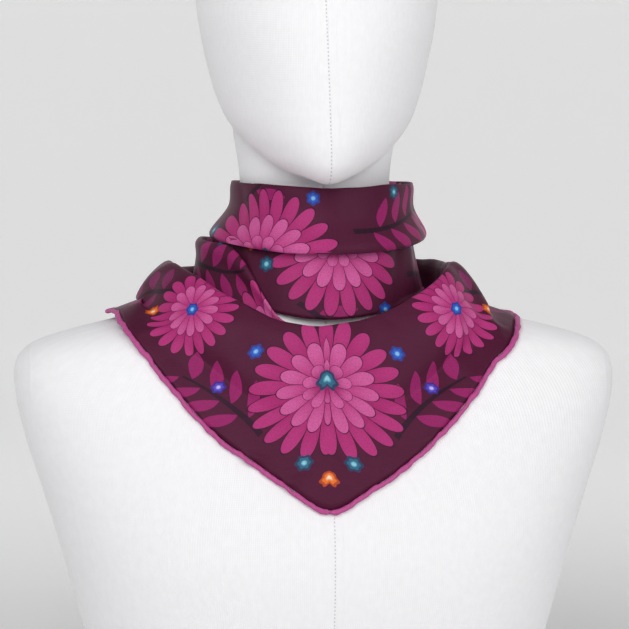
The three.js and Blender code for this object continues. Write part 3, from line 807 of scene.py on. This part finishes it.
# %% Hem tubes
HEM_WIDE, HEM_THICK, HEM_OUT = 1.8, 1.25, 1.7  # half its width and thickness, and its middle
HEM_REST = 1.9  # from the bust's skin to the middle of the roll
STITCH_PITCH = 5.5


def hem_tube(name, edge, inner, seed, scale=1.0):
    """A rolled hem along an edge. Inner is the row of cloth beside the edge, for its slope."""
    run = np.concatenate([[0], np.cumsum(np.linalg.norm(np.diff(edge, axis=0), axis=1))])
    steps = max(8, round(run[-1] / 1.1))
    fine = np.linspace(0, run[-1], steps)
    edge, inner = (np.stack([np.interp(fine, run, p[:, k]) for k in range(3)], -1) for p in (edge, inner))
    outward = unit(edge - inner)
    forward = unit(np.gradient(edge, axis=0))
    lift = unit(np.cross(forward, outward))
    lift *= np.sign((lift * (edge * [1, 1, 0])).sum(-1, keepdims=True))
    chance = np.random.default_rng(seed)
    swell = 1 + 0.06 * np.sin(TAU * fine / STITCH_PITCH + 0.8 * np.sin(fine / 17))
    for pitch in (37, 23, 14.5):
        swell += 0.05 * np.sin(TAU * fine / pitch + chance.uniform(0, TAU))
    wander = sum(0.22 * np.sin(TAU * fine / pitch + chance.uniform(0, TAU)) for pitch in (29, 17, 11))
    ends = np.clip(np.minimum(fine, run[-1] - fine) / 2.0, 0.25, 1) ** 0.5
    turn = np.linspace(0, TAU, 14, endpoint=False)
    middle = edge + outward * ((HEM_OUT + wander) * scale)[:, None]
    wide = (HEM_WIDE * scale * swell * ends)[:, None, None] * np.cos(turn)[None, :, None]
    thick = (HEM_THICK * scale * swell * ends)[:, None, None] * np.sin(turn)[None, :, None]
    rings = middle[:, None] + outward[:, None] * wide + lift[:, None] * thick
    obj = loft(name, rings, rings[0].mean(0), rings[-1].mean(0))
    around = np.append(turn, TAU)
    places = []
    count = len(turn)
    for face in obj.data.polygons:
        at = [(v // count, v % count) if v < steps * count else None for v in face.vertices]
        used = [p for p in at if p]
        wraps = {p[1] for p in used} == {0, count - 1}
        for p in at:
            ring, k = p or (used[0][0], used[0][1])
            k = count if wraps and k == 0 else k
            places.append((fine[ring], around[k] * 2))
    add_map(obj, "Cloth", np.array(places) * MM)
    return obj


def lifted(row, azimuth, clearance):
    """A row of points, moved clear of the bust."""
    r, z = np.hypot(row[:, 0], row[:, 1]), row[:, 2]
    points = clear_of_bust(azimuth, np.stack([r, z], -1), clearance)
    return on_azimuth(azimuth, points[:, 0], points[:, 1])


hem_edge = lifted(drape_grid[:, -1], drape_az, HEM_REST)
hem_inner = lifted(drape_grid[:, -3], drape_az, HEM_REST)
tip = len(left) - 1
hem_left = hem_tube("hem_left_silk", hem_edge[: tip + 1], hem_inner[: tip + 1], seed=31)
hem_right = hem_tube("hem_right_silk", hem_edge[tip:][::-1], hem_inner[tip:][::-1], seed=32)
tail_hems = []
for obj, _, edges in tails.values():
    for k, edge in enumerate(edges):
        other = edges[1 - k]
        tail_hems.append(hem_tube(f"{obj.name}_hem_{k}", edge, halfway(edge, other, 0.2), 40 + k, 0.7))
print("hems:", [len(o.data.polygons) for o in (hem_left, hem_right, *tail_hems)], "faces")

# %% [markdown]
# ## Shaders
# A material is a graph of nodes. To write a pattern as a formula, Python's own signs are
# taught to make the Math nodes: with `x` a socket, `x * 2 + 1` adds two nodes and links them.
# Colours go through Mix nodes, and every other node comes from one method.

# %% A socket that can be calculated with
class Socket:
    """One output of a node, which Python's signs turn into new Math nodes."""

    def __init__(self, shader, link):
        self.shader, self.link = shader, link

    def maths(self, operation, *others):
        return self.shader.node("ShaderNodeMath", {"operation": operation}, self, *others)

    def swapped(self, operation, first):
        return self.shader.node("ShaderNodeMath", {"operation": operation}, first, self)

    def fade(self, low, high):
        """0 below low, 1 above high, and a smooth change between."""
        return self.shader.node("ShaderNodeMapRange", {"interpolation_type": "SMOOTHSTEP"}, self, low, high)

    def __add__(self, other):
        return self.maths("ADD", other)

    def __sub__(self, other):
        return self.maths("SUBTRACT", other)

    def __mul__(self, other):
        return self.maths("MULTIPLY", other)

    def __truediv__(self, other):
        return self.maths("DIVIDE", other)

    def __pow__(self, other):
        return self.maths("POWER", other)

    def __lt__(self, other):
        return self.maths("LESS_THAN", other)

    def __gt__(self, other):
        return self.maths("GREATER_THAN", other)

    def __rsub__(self, other):
        return self.swapped("SUBTRACT", other)

    def __rtruediv__(self, other):
        return self.swapped("DIVIDE", other)

    def __abs__(self):
        return self.maths("ABSOLUTE")

    __radd__, __rmul__ = __add__, __mul__


class Shader:
    """A material with a Principled shader whose fixed settings are given by name."""

    def __init__(self, name, **fixed):
        self.material = bpy.data.materials.new(name)
        self.material.use_nodes = True
        self.tree = self.material.node_tree
        self.surface = self.tree.nodes["Principled BSDF"]
        for key, value in fixed.items():
            self.surface.inputs[key.replace("_", " ")].default_value = value

    def node(self, kind, settings=None, *values, output=0):
        """Adds a node: its settings first, then values or links into its inputs in order."""
        node = self.tree.nodes.new(kind)
        for key, value in (settings or {}).items():
            setattr(node, key, value)
        slots = [slot for slot in node.inputs if slot.enabled]
        for slot, value in zip(slots, values):
            self.put(slot, value)
        outputs = [slot for slot in node.outputs if slot.enabled]
        return Socket(self, outputs[output])

    def put(self, slot, value):
        if isinstance(value, Socket):
            self.tree.links.new(value.link, slot)
        elif value is not None:
            slot.default_value = value

    def drive(self, **links):
        for key, value in links.items():
            self.put(self.surface.inputs[key.replace("_", " ")], value)

    def mix(self, below, above, share):
        """One colour painted over another where share is 1."""
        return self.node("ShaderNodeMix", {"data_type": "RGBA"}, share, colour(below), colour(above))

    def split(self, vector):
        """The x, y and z of a vector, each as a Socket."""
        first = self.node("ShaderNodeSeparateXYZ", None, vector)
        return [Socket(self, first.link.node.outputs[k]) for k in range(3)]

    def noise(self, vector, scale, detail=2.0):
        return self.node("ShaderNodeTexNoise", None, vector, scale, detail)

    def bump(self, height, strength, distance):
        """A normal from a height in millimetres."""
        return self.node("ShaderNodeBump", None, strength, distance * MM, None, height)


def colour(value):
    """A colour written as a hex number, in the linear values that nodes use."""
    if not isinstance(value, int):
        return value
    parts = [(value >> shift & 255) / 255 for shift in (16, 8, 0)]
    return (*[c / 12.92 if c <= 0.04045 else ((c + 0.055) / 1.055) ** 2.4 for c in parts], 1)


print("shader helpers are ready")

# %% [markdown]
# ## Print
# The print is drawn in flat millimetres, as a textile artist would draw it: the square is
# folded along its diagonal by taking the absolute value of x, so each motif is drawn once and
# shows twice. A motif is a formula that is below 1 inside its outline. Polar coordinates make
# a ring of petals from one petal, and repeats along a stem make a sprig from one leaf.

# %% Motifs
INK = 0x1E0A18
TAKE_ROUND = 0.6  # from here outwards a petal's tip is rounded


def polar(x, y, centre, radius):
    """How far out a place is, 1 at the radius, and its turn about the centre."""
    dx, dy = x - centre[0], y - centre[1]
    return (dx * dx + dy * dy) ** 0.5 / radius, dy.maths("ARCTAN2", dx)


def petals(s, ground, x, y, centre, radius, count, turn, near, far):
    """A ring of long petals with thin dark lines between them."""
    out, angle = polar(x, y, centre, radius)
    place = angle * (count / TAU) + turn
    index = place.maths("ROUND")
    off = abs(place - index) * 2
    tip = (out - TAKE_ROUND).maths("MAXIMUM", 0) / (1 - TAKE_ROUND)
    shape = off * off + tip * tip
    odd = (index * 0.5).maths("FRACT")
    tone = s.mix(near, far, out.fade(0.15, 0.95) + odd * 0.5 - off * 0.25)
    petal = s.mix(tone, INK, shape.fade(0.87, 0.93))
    return s.mix(ground, petal, 1 - shape.fade(0.97, 1.03))


def sprig(s, ground, x, y, start, heading, length, bend, pitch, leaf_size, leaf, stem):
    """Pointed leaves in pairs on a bent stem. The heading is in degrees, 0 is across."""
    c, n = math.cos(math.radians(heading)), math.sin(math.radians(heading))
    dx, dy = x - start[0], y - start[1]
    along = dx * c + dy * n
    across = dy * c - dx * n - along * (length - along) * (4 * bend / length**2)
    spread = abs(across)
    place = (along - spread * 0.65 + across.maths("SIGN") * (pitch * 0.22)) / pitch
    index = place.maths("ROUND")
    count = math.floor(length / pitch)
    wide = abs(place - index) / 0.33
    reach = (spread - 1.2) * (2 / leaf_size) - 1
    shape = wide + reach * reach
    within = abs(index - (count + 1) / 2) < count / 2
    tone = s.mix(leaf, INK, (1 - wide.fade(0.02, 0.08)) * 0.12)
    painted = s.mix(ground, tone, within * (1 - shape.fade(0.94, 1.02)))
    thin = 1.9 - along * (1.2 / length)
    on_stem = (abs(along - length / 2) < length / 2 + 1) * (1 - (spread - thin).fade(-0.15, 0.15))
    return s.mix(painted, stem, on_stem)


def berry(s, ground, x, y, centre, radius, tone, deep, glint):
    """A small six-lobed blossom with a pale heart."""
    out, angle = polar(x, y, centre, radius)
    shape = out / ((angle * 6).maths("COSINE") * 0.1 + 0.92)
    inner = s.mix(glint, tone, out.fade(0.12, 0.4))
    inner = s.mix(inner, deep, shape.fade(0.62, 0.74))
    return s.mix(ground, inner, 1 - shape.fade(0.94, 1.04))


print("a petal, a leaf and a blossom are ready")

# %% The silk's colours and the whole drawing
PLUM, PLUM_DARK = 0x471129, 0x3B0C22
PINK, ROSE, PALE = 0x98165E, 0xB23276, 0xCC5C9A
LEAF, LEAF_DIM = 0x941E62, 0x7C1A56
STEM = 0x0E0A14
BLUE, TEAL, ORANGE, VIOLET = (
    (0x0C5CC0, 0x0A3E90, 0x7FC4F0),
    (0x0C6A86, 0x083E5A, 0x86D0DC),
    (0xF07A1E, 0xB84A10, 0xFBE0C0),
    (0x5048C4, 0x2E2A8C, 0xC4C0F4),
)
FLOWERS = [  # centre, radius, petals, turn, near and far colour, from the outer ring inwards
    ((0, 82), 47, 22, 0.5, PINK, ROSE),
    ((0, 82), 30, 15, 0.0, ROSE, PALE),
    ((0, 82), 15, 9, 0.5, PINK, PALE),
    ((88, 144), 32, 20, 0.2, PINK, ROSE),
    ((88, 144), 19, 13, 0.5, ROSE, PALE),
    ((0, 238), 42, 20, 0.5, PINK, ROSE),
    ((0, 238), 25, 13, 0.0, ROSE, PALE),
    ((72, 264), 32, 17, 0.3, PINK, PALE),
]
SPRIGS = [  # start, heading, length, bend, pitch, leaf size, colour
    ((38, 58), 40, 62, 5, 15, 19, LEAF),
    ((104, 160), 30, 80, -6, 15, 19, LEAF_DIM),
    ((20, 138), 78, 64, 4, 14, 18, LEAF),
    ((60, 196), 62, 58, -5, 14, 17, LEAF_DIM),
]
BERRIES = [  # centre, radius, colours
    ((0, 21), 5.0, ORANGE),
    ((13, 35), 5.5, TEAL),
    ((42, 112), 5.0, BLUE),
    ((64, 92), 4.6, VIOLET),
    ((122, 150), 5.0, ORANGE),
    ((0, 84), 6.5, TEAL),
    ((88, 144), 4.8, BLUE),
    ((0, 236), 6.0, ORANGE),
    ((0, 152), 5.5, BLUE),
    ((44, 172), 5.0, TEAL),
]


def draw_print(s, x, y):
    """The whole drawing as a colour, from a place on the flat cloth in millimetres."""
    side = abs(x)
    drawn = colour(PLUM)
    drawn = s.mix(drawn, PLUM_DARK, s.noise(s.node("ShaderNodeTexCoord", output=2), 6.0) * 0.5)
    for start, heading, length, bend, pitch, leaf_size, leaf in SPRIGS:
        drawn = sprig(s, drawn, side, y, start, heading, length, bend, pitch, leaf_size, leaf, STEM)
    for centre, radius, count, turn, near, far in FLOWERS:
        drawn = petals(s, drawn, side, y, centre, radius, count, turn, near, far)
    for centre, radius, tones in BERRIES:
        drawn = berry(s, drawn, side, y, centre, radius, *tones)
    return drawn


print(len(FLOWERS), "rings of petals,", len(SPRIGS), "sprigs,", len(BERRIES), "blossoms")

# %% [markdown]
# ## Silk, hem and jersey
# Silk twill shines along its fine diagonal rib, so its highlight is wide and soft: a middling
# roughness, some sheen, and a bump from lines that run at 45 degrees to the threads. The
# jersey is matt, with ribs that follow the bust from top to bottom and a centre seam.

# %% Materials
TWILL_PITCH = 0.45
RIB_PITCH_DEGREES = 0.6
SEAM_STITCH = 2.4

DYED_GLOSS = (1.0, 0.55, 0.8, 1.0)  # light that glances off dyed silk takes its pink

silk = Shader("silk_twill", Sheen_Weight=0.16, Sheen_Roughness=0.22, Specular_IOR_Level=0.22)
silk.surface.inputs["Sheen Tint"].default_value = DYED_GLOSS
silk.surface.inputs["Specular Tint"].default_value = DYED_GLOSS
cloth = silk.split(silk.node("ShaderNodeUVMap", {"uv_map": "Cloth"}))
flat_x, flat_y = cloth[0] * 1000, cloth[1] * 1000
printed = draw_print(silk, flat_x, flat_y)
rib = (flat_x * (TAU / TWILL_PITCH)).maths("SINE")
slub = silk.noise(silk.node("ShaderNodeCombineXYZ", None, flat_x * 0.08, flat_y * 2.0), 1.0)
grain = silk.noise(silk.node("ShaderNodeCombineXYZ", None, flat_x, flat_y), 1.1, 3.0)
silk.drive(
    Base_Color=silk.mix(silk.mix(printed, INK, grain.fade(0.35, 0.75) * 0.28), PALE, slub * 0.05),
    Roughness=slub * 0.1 + 0.40,
    Normal=silk.bump(rib * 0.4 + slub + grain * 2, 0.16, 0.2),
)

hem_silk = Shader("hem_silk", Sheen_Weight=0.08, Sheen_Roughness=0.4, Specular_IOR_Level=0.3)
hem_map = hem_silk.split(hem_silk.node("ShaderNodeUVMap", {"uv_map": "Cloth"}))
run, around = hem_map[0] * 1000, hem_map[1] * 1000
twist = ((run * 0.9 + around * 1.1) * (TAU / 4.5)).maths("SINE")
stitch = ((run / STITCH_PITCH).maths("FRACT") < 0.3) * (abs(around - TAU) < 0.5)
fuzz = hem_silk.noise(hem_silk.node("ShaderNodeCombineXYZ", None, run, around * 0.6), 0.9, 4.0)
hem_silk.drive(
    Base_Color=hem_silk.mix(hem_silk.mix(0xA8347A, 0xC05A96, fuzz), 0x86205C, stitch * 0.5),
    Roughness=fuzz * 0.15 + 0.45,
    Normal=hem_silk.bump(twist * 0.5 + fuzz - stitch * 0.6, 0.4, 0.4),
)

jersey = Shader("white_jersey", Sheen_Weight=0.15, Sheen_Roughness=0.5, IOR=1.4)
place = jersey.split(jersey.node("ShaderNodeTexCoord", output=3))
x, y, z = (p * 1000 for p in place)
turned = x.maths("ARCTAN2", y * -1) * (360 / TAU / RIB_PITCH_DEGREES)
courses = (z * (TAU / 1.1)).maths("SINE")
ribs = (turned * TAU).maths("SINE")
knitted = ribs * 0.22 + courses * 0.1
in_front = y < 0
seam = x + (z - 345).maths("MAXIMUM", 0) * 0.046  # it wanders to one side up the head
stitches = (abs(seam) < 0.4) * ((z / SEAM_STITCH).maths("FRACT") < 0.5) * in_front
allowance = seam.fade(0.2, 1.2) * (1 - seam.fade(4.5, 6.5)) * in_front
cap_seam = 1 - abs(abs(x) - 187.5).fade(0.3, 1.6)
knit = jersey.noise(jersey.node("ShaderNodeCombineXYZ", None, turned * 0.4, z * 0.15), 1.0, 3.0)
jersey.drive(
    Base_Color=jersey.mix(jersey.mix(0xEFEEF0, 0xF8F7F9, knit), 0xC6C4CA, stitches * 0.8),
    Roughness=knit * 0.1 + 0.82,
    Normal=jersey.bump(knitted + allowance * 1.6 + cap_seam * 1.2 - stitches, 0.5, 0.35),
)
print("nodes in the silk:", len(silk.tree.nodes))

# %% [markdown]
# ## What each piece stands for
# Every visual piece rides on the part's one body and takes the place of its CAD solid. For each
# sheet of cloth the area of its flat cut is worked out too.

def cut_area(flat):
    """The area of a piece's flat cut in square metres, cell by cell."""
    one, two = flat[1:, 1:] - flat[:-1, :-1], flat[1:, :-1] - flat[:-1, 1:]
    return float(np.abs(one[..., 0] * two[..., 1] - one[..., 1] * two[..., 0]).sum() / 2) * MM**2


def declare(obj, node, shader):
    obj.data.materials.clear()
    obj.data.materials.append(shader.material)
    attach(obj, "root")
    if node:
        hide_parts(node)


declare(bust, "display_bust", jersey)
for obj, node in (
    (front_drape, "front_drape"),
    (side_fold, "side_fold_left"),
    (lower_band, "neck_band_lower"),
    (upper_band, "neck_band_upper"),
    (knot, "nape_knot"),
    (tails[1][0], "tail_left"),
    (tails[-1][0], "tail_right"),
):
    declare(obj, node, silk)
declare(hem_left, "hem_front_left", hem_silk)
declare(hem_right, "hem_front_right", hem_silk)
for obj in tail_hems:
    declare(obj, None, hem_silk)

# The drape is cut from a corner of the square, so its flat size is taken along the two hems
diagonal, up_from_tip = drape_flat[..., 0], drape_flat[..., 1]
square_flat = np.stack([diagonal + up_from_tip, up_from_tip - diagonal], -1) / math.sqrt(2)
SHEETS = [
    (front_drape, square_flat, [hem_left, hem_right]),
    (side_fold, fold_flat, []),
    (lower_band, lower_flat, []),
    (upper_band, upper_flat, [knot]),
    (tails[1][0], tails[1][1], tail_hems[:2]),
    (tails[-1][0], tails[-1][1], tail_hems[2:]),
]
for obj, flat, pieces in SHEETS:
    area = cut_area(flat)

# %% [markdown]
# ## Stage and light
# The photograph is a studio picture with nothing to see behind the bust. Here a round floor of
# pale paper curves up all round into a wall, so that no line shows from any side, and it glows
# faintly where the lights don't reach. Big soft lights from both sides and above leave only
# faint shadows. A light's size sets how soft its shadow is, and its distance how fast it falls
# off.

# %% Stage
FLOOR_RADIUS, WALL_BEND, WALL_TOP = 3600, 1500, 5000
GLOW_BEHIND, GLOW_BEFORE = 0.34, 0.16

profile = [(radius, 0.0) for radius in (600, 1600, 2600)]
for b in np.linspace(0, math.pi / 2, 24):
    profile.append((FLOOR_RADIUS + WALL_BEND * math.sin(b), WALL_BEND * (1 - math.cos(b))))
profile.append((FLOOR_RADIUS + WALL_BEND, WALL_TOP))
sides = np.linspace(0, 360, 120, endpoint=False)
rings = np.stack([on_azimuth(sides, radius, height) for radius, height in profile])
faces = [tuple(range(len(sides)))]
for level in range(len(profile) - 1):
    for i in range(len(sides)):
        low, high = level * len(sides), (level + 1) * len(sides)
        j = (i + 1) % len(sides)
        faces.append((low + i, high + i, high + j, low + j))
studio = new_object("studio", rings.reshape(-1, 3), faces)
paper = Shader("paper", Roughness=0.95, Emission_Strength=1.0)
x, y, z = (p * 1000 for p in paper.split(paper.node("ShaderNodeTexCoord", output=3)))
behind = ((x * x + y * y) ** 0.5 + z).fade(-700, 1500) * y.fade(-900, 700)
before = z.fade(0, 1500) * (1 - y.fade(-900, 700))
glow = behind * GLOW_BEHIND + before * GLOW_BEFORE
grey_glow = paper.node("ShaderNodeCombineXYZ", None, glow, glow, glow)
paper.drive(Base_Color=colour(0xE6E6E6), Emission_Color=grey_glow)
paper.material.cycles.emission_sampling = "NONE"  # a wide dim glow is found without aiming at it
studio.data.materials.append(paper.material)
print("stage is", 2 * (FLOOR_RADIUS + WALL_BEND), "mm wide")


# %% Lights
SOFTBOX_SIZE = 1300
WORLD_LIGHT = 0.09
SOFTBOXES = [  # name, azimuth, elevation, distance, watts
    ("key", -26, 30, 2200, 19.2),
    ("fill", 30, 15, 2300, 14.6),
    ("top", 0, 74, 1900, 4.5),
]

for name, azimuth, elevation, distance, watts in SOFTBOXES:
    light = bpy.data.lights.new(name, "AREA")
    light.shape, light.size, light.energy = "SQUARE", SOFTBOX_SIZE * MM, watts
    obj = bpy.data.objects.new(name, light)
    bpy.context.scene.collection.objects.link(obj)
    aim(obj, look_at + distance * direction(azimuth, elevation), look_at)
world = bpy.data.worlds.new("studio")
world.use_nodes = True
world.node_tree.nodes["Background"].inputs["Color"].default_value = (1, 1, 1, 1)
world.node_tree.nodes["Background"].inputs["Strength"].default_value = WORLD_LIGHT
bpy.context.scene.world = world
print("lights:", [light.name for light in bpy.data.lights])
